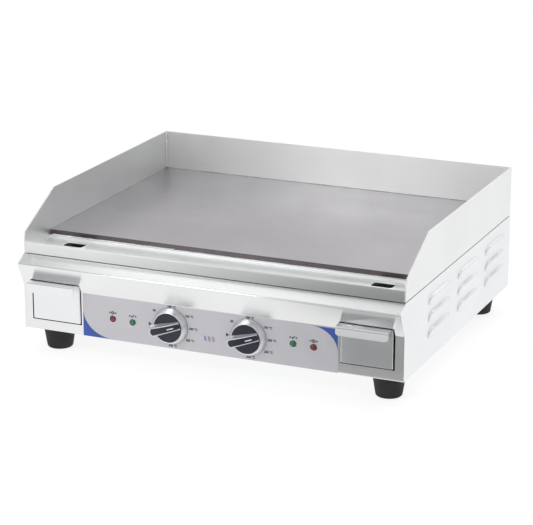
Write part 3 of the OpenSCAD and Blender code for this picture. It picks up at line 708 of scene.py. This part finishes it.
def drawer_front(side, name, low, high):
    """Front sheet with folded-back sides, a ledge over it, and a finger lip with round corners

    low and high are the ends of the front, from the middle of its opening"""
    x = side * DRAWER_X
    shape = Shape()
    sheet = rounded([(low, 6), (low, FRONT_Y), (high, FRONT_Y), (high, 6), (high - SHEET, 6),
                     (high - SHEET, FRONT_Y + SHEET), (low + SHEET, FRONT_Y + SHEET),
                     (low + SHEET, 6)], [0, 2.2, 2.2, 0, 0, 1, 1, 0])
    shape.prism([(x + u, v, FRONT_Z[0]) for u, v in sheet], (0, 0, FRONT_Z[1] - FRONT_Z[0]))
    ledge = rounded([(FRONT_Y + SHEET, FRONT_Z[1]), (FRONT_Y, FRONT_Z[1]),
                     (FRONT_Y, LEDGE_TOP - SHEET), (REACH + SHEET, LEDGE_TOP - SHEET),
                     (REACH + SHEET, 73.5), (REACH, 73.5), (REACH, LEDGE_TOP),
                     (FRONT_Y + SHEET, LEDGE_TOP)], [0, 0, 0, 0.6, 0, 0, 1.8, 0.4])
    shape.prism([(x + low + 0.1, v, w) for v, w in ledge], (high - low - 0.2, 0, 0))
    lip = rounded([(low + 0.1, 0), (high - 0.1, 0), (high - 0.1, -LIP_H), (low + 0.1, -LIP_H)],
                  [0, 0, 5, 5])
    start = len(shape.verts)
    shape.prism([(u, 0, w) for u, w in lip], (0, SHEET, 0))
    shape.turned(start, Matrix.Translation((x, REACH, 74)) @ Matrix.Rotation(-LIP_LEAN, 4, "X"))
    piece(name, shape, "drawer_steel", body=name.replace("front_", ""), slot="casing_steel",
          replaces=[name], soften=0.55)


drawer_front(-1, "drawer_front_left", -39, 39.6)
drawer_front(1, "drawer_front_right", -40.2, 38.6)


# ---- Knobs -------------------------------------------------------------------------------

HEEL = 20.0
TIP = -27.0
INLAY_TIP = -24.2


def crest(x):
    """How high the grip stands at one place along it"""
    t = max((HEEL - x) / (HEEL - TIP), 0)
    return 12.5 + 7.5 * math.sin(min(t / 0.85, 1) * math.pi / 2) ** 0.9


def grip_stations(count=40):
    """Along the grip from heel to tip: x, top height and half-width, foot height and half-width"""
    stations = []
    for i in range(count + 1):
        x = HEEL + (TIP - HEEL) * (1 - math.cos(math.pi * i / count)) / 2
        t = (HEEL - x) / (HEEL - TIP)
        top = crest(x)
        half = 4.9 + 1.5 * t
        foot_half = 6.0 + 3.6 * t
        foot = 9.9 if x > -19 else 9.9 + (-19 - x) * 0.8
        end = min(max((x - TIP) / 4.0, 0), 1)
        round_off = math.sqrt(max(1 - (1 - end) ** 2, 0.0))
        stations.append((x, top, max(half * round_off, 0.3), min(foot, top - 2.5),
                         max(foot_half * round_off, 0.4)))
    return stations


def grip_section(x, top, half, foot, foot_half):
    """A closed section across the grip: flat top, flanks that flare out towards the foot"""
    height = top - foot
    right = [(half - 0.4, top), (half, top - 0.4)]
    for k in range(1, 8):
        s = k / 7
        right.append((half + (foot_half - half) * s ** 2.2, top - 0.4 - (height - 0.4) * s))
    section = right + [(-w, h) for w, h in reversed(right)]
    return [(x, -h, w) for w, h in section]


def inlay_half(x):
    """Half the width of the dark inlay on the grip, rounded off at both ends"""
    base = 4.0 + 1.2 * (HEEL - x) / (HEEL - INLAY_TIP)
    end = min(max((x - INLAY_TIP) / 3.2, 0), 1)
    near = min(max((HEEL - x) / 0.8, 0), 1)
    return max((base - 3.2) + 3.2 * math.sqrt(1 - (1 - end) ** 2) - 0.8 * (1 - near), 0.4)


def inlay_rows(count=24):
    """Sections across the inlay, which stands a little above the grip's top"""
    rows = []
    for k in range(count + 1):
        x = HEEL - (HEEL - INLAY_TIP) * k / count
        half, high = inlay_half(x), crest(x) + 0.12
        rows.append([(x, -(high - 0.25), -half), (x, -high, -half + 0.3), (x, -high, half - 0.3),
                     (x, -(high - 0.25), half), (x, -(high - 1.6), half),
                     (x, -(high - 1.6), -half)])
    return rows


def knob(side):
    """Turned skirt, dark disc with the inlay, bright grip with flared flanks, and a white dash"""
    cx, cz = KNOBS[side]
    body = "knob_" + side
    spin = Matrix.Translation((cx, 0, cz)) @ Matrix.Rotation(-GRIP_TURN, 4, "Y")

    skirt = Shape().lathe(
        [(26.3, 1.0), (27.1, 1.0), (27.6, 1.4), (27.6, 2.2), (27.2, 2.9), (23.7, 9.9),
         (23.1, 10.5), (22.4, 10.75), (21.9, 10.5), (21.7, 9.9), (21.6, 8.6), (25.0, 2.4)],
        (cx, 0, cz), n=96)
    piece("knob_skirt_" + side, skirt, "knob_silver", body, angle=28,
          replaces=["knob_skirt_" + side])

    disc = Shape().lathe(
        [(0, 9.75), (8, 9.8), (18, 9.95), (20.6, 10.0), (21.3, 9.8), (21.5, 9.3), (21.5, 8.5),
         (7, 8.4), (6.9, 2.1), (3.1, 2.0), (3.1, 8.2), (0, 8.2)], (cx, 0, cz), n=96, closed=False)
    start = len(disc.verts)
    disc.grid(inlay_rows(), close_v=True, caps=True)
    disc.turned(start, spin)
    piece("knob_body_" + side, disc, "knob_dark", body, angle=32,
          replaces=["knob_body_" + side])

    flanks = Shape().grid([grip_section(*station) for station in grip_stations()],
                          close_v=True, caps=True)
    flanks.turned(0, spin)
    piece("knob_trim_" + side, flanks, "knob_grip", body, slot="knob_silver", angle=50,
          replaces=["knob_trim_" + side])

    dash = Shape()
    near, far = 12.0, 1.6
    middle = (crest(near) + crest(far)) / 2
    slope = math.atan2(crest(far) - crest(near), near - far)
    rounded_box(dash, (-5.2, -0.12, -0.9), (5.2, 0.12, 0.9), 0.7)
    lean = (Matrix.Translation(((near + far) / 2, -middle - 0.16, -0.7))
            @ Matrix.Rotation(slope, 4, "Z"))
    dash.turned(0, spin @ lean)
    piece("knob_dash_" + side, dash, "print_white", body, slot="knob_silver")


for side in KNOBS:
    knob(side)


# ---- Pilot lamps -------------------------------------------------------------------------

bezels = Shape()
for name, (x, z) in LAMPS.items():
    bezels.lathe([(5.2, 0.4), (5.85, 0.4), (5.9, 0.7), (5.65, 1.1), (5.2, 1.0)],
                 (x, 0, z), n=48)
    bezels.lathe([(4.0, 0.4), (4.7, 0.4), (4.7, -22), (4.0, -22), (4.0, 0.2)], (x, 0, z), n=32)
    bezels.lathe([(4.75, -1.2), (6.5, -1.2), (6.5, -5), (4.75, -5)], (x, 0, z), n=6)
    rim = [(0, -6.0), (3.9, -6.0), (3.9, 0.4), (5.1, 0.4), (5.1, 1.3), (4.7, 1.7), (4.2, 1.7),
           (3.9, 0.9)]
    cap = Shape().lathe(rim + sweep(0, 1.2, 3.8, 1.8, 0, 90, 8), (x, 0, z), n=48, closed=False)
    piece(name, cap, "lens_red" if "power" in name else "lens_green", replaces=[name], angle=50)
piece("lamp_holders", bezels, "bezel", replaces=["lamp_holders"], angle=40)


# ---- Print on the control label ----------------------------------------------------------

INK = 0.06


def ink(shape, outline):
    """A thin printed area on the label, from its outline in (x, z)"""
    return shape.prism([(x, -PRINT, z) for x, z in outline], (0, -INK, 0))


def label_text(text, height, x, z):
    """The outline curves of generic characters as a thin mesh, centred on (x, z)"""
    curve = bpy.data.curves.new("characters", "FONT")
    curve.body = text
    curve.size = height * 1.35 / 1000
    curve.align_x = "CENTER"
    curve.align_y = "CENTER"
    curve.extrude = INK / 2000
    curve.offset = height * 0.06 / 1000
    curve.resolution_u = 4
    holder = bpy.data.objects.new("characters", curve)
    bpy.context.scene.collection.objects.link(holder)
    bpy.context.view_layer.update()
    mesh = bpy.data.meshes.new_from_object(
        holder.evaluated_get(bpy.context.evaluated_depsgraph_get()))
    bpy.data.objects.remove(holder)
    spot = place(x, -PRINT - INK / 2, z)
    mesh.transform(Matrix.Translation(spot) @ Matrix.Rotation(math.pi / 2, 4, "X"))
    return mesh


def joined(name, meshes):
    """One object from several meshes"""
    work = bmesh.new()
    for mesh in meshes:
        work.from_mesh(mesh)
        bpy.data.meshes.remove(mesh)
    bmesh.ops.remove_doubles(work, verts=work.verts, dist=1e-6)
    result = bpy.data.meshes.new(name)
    work.to_mesh(result)
    work.free()
    obj = bpy.data.objects.new(name, result)
    bpy.context.scene.collection.objects.link(obj)
    return obj


DIAL = [("50", -26.0, 20.6), ("100 °C", 1.8, 29.6), ("150 °C", 30.0, 18.4),
        ("200 °C", 36.2, -0.1), ("250 °C", 31.0, -18.2), ("300 °C", 3.2, -29.6)]
for side, (cx, cz) in KNOBS.items():
    texts = [label_text(text, 3.5, cx + dx, cz + dz) for text, dx, dz in DIAL]
    obj = joined("dial_numbers_" + side, texts)
    finish_mesh(obj, "print_black", "griddle", slot="label")
    mark = Shape()
    ink(mark, [(cx - 35.2, cz - 3.4), (cx - 30.4, cz - 0.6), (cx - 35.2, cz + 2.2)])
    piece("dial_mark_" + side, mark, "print_black", slot="label")

LABEL_HALF = 201.5
blue = Shape()
ink(blue, [(-LABEL_HALF, 0.8), (-LABEL_HALF, 41.6)] + sweep(-153, 41.6, 48.5, 40.8, 180, 270))
ink(blue, [(LABEL_HALF, 65.5), (161, 65.5)] + sweep(161, 30, 40.5, 35.5, 90, 0))
piece("label_corners", blue, "print_blue", slot="label")

icons = Shape()
for name, (x, z) in LAMPS.items():
    top = z + 9.3
    inside = 3.5 if "power" in name else 3.8
    for k in (-1, 1):
        ink(icons, [(x + k * u, top + v) for u, v in
                    ((inside, -1.0), (5.9, -1.0), (5.9, 1.0), (inside, 1.0))])
    if "power" in name:
        ring = [(x + u, top + v) for u, v in arc(0, 0, 2.7, 125, 415, 20)]
        ring += [(x + u, top + v) for u, v in arc(0, 0, 1.3, 415, 125, 20)]
        ink(icons, ring)
        ink(icons, [(x - 0.6, top + 0.1), (x + 0.6, top + 0.1), (x + 0.6, top + 3.0),
                    (x - 0.6, top + 3.0)])
    else:
        ink(icons, [(x - 3.2, top), (x - 2.2, top + 1.0), (x - 0.8, top - 0.4),
                    (x + 2.2, top + 2.6), (x + 3.2, top + 1.6), (x - 0.8, top - 2.4)])
piece("lamp_icons", icons, "print_black", slot="label")

WAVE_LOW = 19.4
WAVE_H = 7.6
WAVE_W = 1.9
for name, starts, material in (("label_heat_waves", (-4.4, 2.0), "print_violet"),
                               ("label_heat_wave_red", (8.4,), "print_red")):
    waves = Shape()
    for start in starts:
        left = [(start + 1.5 * math.sin(t * 1.05), WAVE_LOW + WAVE_H * t / 12) for t in range(13)]
        ink(waves, left + [(x + WAVE_W, z) for x, z in reversed(left)])
    piece(name, waves, material, slot="label")


# ---- Feet and fasteners ------------------------------------------------------------------

FEET = {"front_left": (-264, 40), "front_right": (264, 40), "rear_left": (-264, 445),
        "rear_right": (264, 445)}
for name, (x, y) in FEET.items():
    foot = Shape().lathe(
        [(3.2, -25), (7, -25), (7, -37), (15.6, -37), (17.6, -36.6), (19.0, -35.4),
         (19.6, -33.6), (24.3, -4.2), (25.0, -3.2), (25.0, -1.4), (24.3, 0), (3.2, 0)],
        (x, y, 0), axis="z", n=64)
    piece("foot_" + name, foot, "rubber_black", replaces=["foot_" + name], angle=28)


SCREW_IN = 8
SCREW_R = 3.8


def screw_head(shape, spot, out):
    """A pan head dimpled in the middle, and its shank; out is +1 for back, -1 for down"""
    start = len(shape.verts)
    shape.lathe([(0, 0.5), (0.9, 0.7), (1.0, 1.62), (2.2, 1.55), (3.2, 1.2), (SCREW_R, 0.5),
                 (SCREW_R, 0.0), (2.1, 0), (2.1, -6), (0, -6)],
                (0, 0, 0), axis="z", n=24, closed=False)
    turn = Matrix.Rotation(math.pi, 4, "X") if out < 0 else Matrix.Rotation(-math.pi / 2, 4, "X")
    shape.turned(start, Matrix.Translation(spot) @ turn)


rear = Shape()
for x in (SCREW_IN - HALF_W, HALF_W - SCREW_IN):
    for z in (14, 57.5, 101):
        screw_head(rear, (x, BACK, z), 1)
for x in (-90, 90):
    screw_head(rear, (x, BACK, 14), 1)
piece("rear_panel_screws", rear, "zinc", replaces=["rear_panel_screws"], angle=40)
under = Shape()
for x in (SCREW_IN - HALF_W, HALF_W - SCREW_IN):
    for y in (110, 240, 370):
        screw_head(under, (x, y, 0), -1)
piece("base_plate_screws", under, "zinc", replaces=["base_plate_screws"], angle=40)


# ---- Studio ------------------------------------------------------------------------------

scene = bpy.context.scene
scene.view_settings.view_transform = "Standard"
scene.view_settings.look = "None"

CAMERA = (1232.2, -2621.0, 1035.6)
CAMERA_DOWN = 17.23
CAMERA_TURN = 23.502
LENS = 143.95
SENSOR = 36.0

camera_data = bpy.data.cameras.new("camera")
camera_data.lens = LENS
camera_data.sensor_width = SENSOR
camera_data.sensor_fit = "HORIZONTAL"
camera_data.clip_start = 0.05
camera_data.clip_end = 60.0
camera = bpy.data.objects.new("camera", camera_data)
camera.location = place(*CAMERA)
camera.rotation_euler = (math.radians(90 - CAMERA_DOWN), 0.0, math.radians(CAMERA_TURN))
scene.collection.objects.link(camera)
scene.camera = camera


# Painted reflection: a darker patch of floor that only glossy rays see, so the steel mirrors shade
# there
REFLECTED_SHADE = 0.27
REFLECTED_SHADE_SLANT = 0.8
REFLECTED_SHADE_PIVOT = -0.72
REFLECTED_SHADE_LEFT = (-0.32, -0.11)
REFLECTED_SHADE_NEAR = (-0.93, -0.68)
REFLECTED_SHADE_FAR = (-0.33, -0.28)


def ramp(g, value, start, end, low, high):
    """A smooth change from low to high in a material"""
    node = g.node("ShaderNodeMapRange", {
        "Value": value, "From Min": start, "From Max": end, "To Min": low, "To Max": high},
        interpolation_type="SMOOTHSTEP")
    return node.outputs["Result"]


def floor_material():
    """White paper, lit so that it glows; glossy rays alone see a darker patch on it, a painted
    reflection of shade in the steel
    """
    g = Graph("studio_floor")
    cloud = g.noise((1.5, 1.5, 1.5))
    g.set(g.shader.inputs["Base Color"],
          g.mix(g.between(cloud, 0, 1), (0.24, 0.24, 0.24, 1), (0.26, 0.26, 0.26, 1)))
    g.shader.inputs["Roughness"].default_value = 0.9
    g.shader.inputs["Specular IOR Level"].default_value = 0.1
    g.shader.inputs["Emission Color"].default_value = (1.0, 1.0, 1.0, 1.0)
    g.shader.inputs["Emission Strength"].default_value = 0.82
    spot = g.node("ShaderNodeSeparateXYZ", {"Vector": g.coordinates})
    slant = g.node("ShaderNodeMath", {0: spot.outputs["Y"], 1: -REFLECTED_SHADE_SLANT,
                                      2: REFLECTED_SHADE_SLANT * REFLECTED_SHADE_PIVOT}, operation="MULTIPLY_ADD")
    across = g.node("ShaderNodeMath", {0: spot.outputs["X"], 1: slant.outputs[0]}, operation="ADD")
    depth = g.node("ShaderNodeMath", {0: ramp(g, spot.outputs["Y"], *REFLECTED_SHADE_NEAR, 0, 1),
                                      1: ramp(g, spot.outputs["Y"], *REFLECTED_SHADE_FAR, 1, 0)},
                   operation="MULTIPLY")
    inside = g.node("ShaderNodeMath", {0: ramp(g, across.outputs[0], *REFLECTED_SHADE_LEFT, 0, 1),
                                       1: depth.outputs[0]}, operation="MULTIPLY")
    level = g.node("ShaderNodeMath", {0: inside.outputs[0], 1: REFLECTED_SHADE - 1.0, 2: 1.0},
                   operation="MULTIPLY_ADD")
    painted_reflection = g.node("ShaderNodeEmission", {"Strength": level.outputs[0]})
    path = g.node("ShaderNodeLightPath")
    mix = g.node("ShaderNodeMixShader", {0: path.outputs["Is Glossy Ray"]})
    g.tree.links.new(g.shader.outputs[0], mix.inputs[1])
    g.tree.links.new(painted_reflection.outputs[0], mix.inputs[2])
    g.tree.links.new(mix.outputs[0], g.tree.nodes["Material Output"].inputs["Surface"])
    return g.material


FLOOR_HALF = 9
floor_mesh = bpy.data.meshes.new("studio_floor")
floor_mesh.from_pydata([(-FLOOR_HALF, -FLOOR_HALF, 0), (FLOOR_HALF, -FLOOR_HALF, 0),
                        (FLOOR_HALF, FLOOR_HALF, 0), (-FLOOR_HALF, FLOOR_HALF, 0)],
                       [], [(0, 1, 2, 3)])
floor = bpy.data.objects.new("studio_floor", floor_mesh)
floor_mesh.materials.append(floor_material())
scene.collection.objects.link(floor)

world = bpy.data.worlds.new("studio")
world.use_nodes = True
tree = world.node_tree
background = tree.nodes["Background"]
direction = tree.nodes.new("ShaderNodeSeparateXYZ")
tree.links.new(tree.nodes.new("ShaderNodeTexCoord").outputs["Generated"], direction.inputs[0])


def room(axis, start, end, low, high):
    """A smooth change in the room's light along one axis of the direction looked in"""
    node = tree.nodes.new("ShaderNodeMapRange")
    node.interpolation_type = "SMOOTHSTEP"
    tree.links.new(direction.outputs[axis], node.inputs["Value"])
    for key, value in (("From Min", start), ("From Max", end), ("To Min", low), ("To Max", high)):
        node.inputs[key].default_value = value
    return node.outputs["Result"]


def product(first, second):
    """One light level times another"""
    node = tree.nodes.new("ShaderNodeMath")
    node.operation = "MULTIPLY"
    tree.links.new(first, node.inputs[0])
    tree.links.new(second, node.inputs[1])
    return node.outputs[0]


front = room("Y", -0.95, -0.1, 0.95, 1.0)
above = room("Z", 0.35, 0.95, 1.0, 0.62)
right = room("X", 0.1, 0.5, 1.0, 0.78)
high_ahead = product(room("Z", 0.45, 0.75, 0.0, 0.55), room("Y", -0.30, -0.02, 1.0, 0.0))
shaded = tree.nodes.new("ShaderNodeMath")
shaded.operation = "SUBTRACT"
shaded.inputs[0].default_value = 1.0
tree.links.new(high_ahead, shaded.inputs[1])
tree.links.new(product(front, product(product(above, right), shaded.outputs[0])),
               background.inputs["Strength"])
background.inputs["Color"].default_value = (0.98, 0.99, 1.0, 1.0)
scene.world = world


def softbox(name, location, target, size, power):
    """A rectangular lamp at a place in metres, turned to its target"""
    data = bpy.data.lights.new(name, "AREA")
    data.shape = "RECTANGLE"
    data.size, data.size_y = size
    data.energy = power
    lamp = bpy.data.objects.new(name, data)
    lamp.location = location
    lamp.rotation_euler = (Vector(target) - Vector(location)).to_track_quat("-Z", "Y").to_euler()
    scene.collection.objects.link(lamp)


softbox("softbox_left", (-0.31, -0.745, 0.525), (0.1, 0.1, 0.1), (0.25, 0.175), 1.0)
softbox("softbox_above", (0.6, 0.05, 1.6), (0.03, 0.05, 0.1), (1.5, 1.1), 6.2)
softbox("softbox_strip", (-0.52, 0.05, 1.6), (-0.1, -0.2, 0.1), (0.24, 1.1), 0.8)
softbox("softbox_fill", (-0.15, 0.05, 1.6), (-0.1, -0.2, 0.1), (0.6, 1.1), 0.15)
softbox("softbox_back", (0.2, 2.0, 1.6), (0, 0, 0.1), (1.8, 0.7), 2)
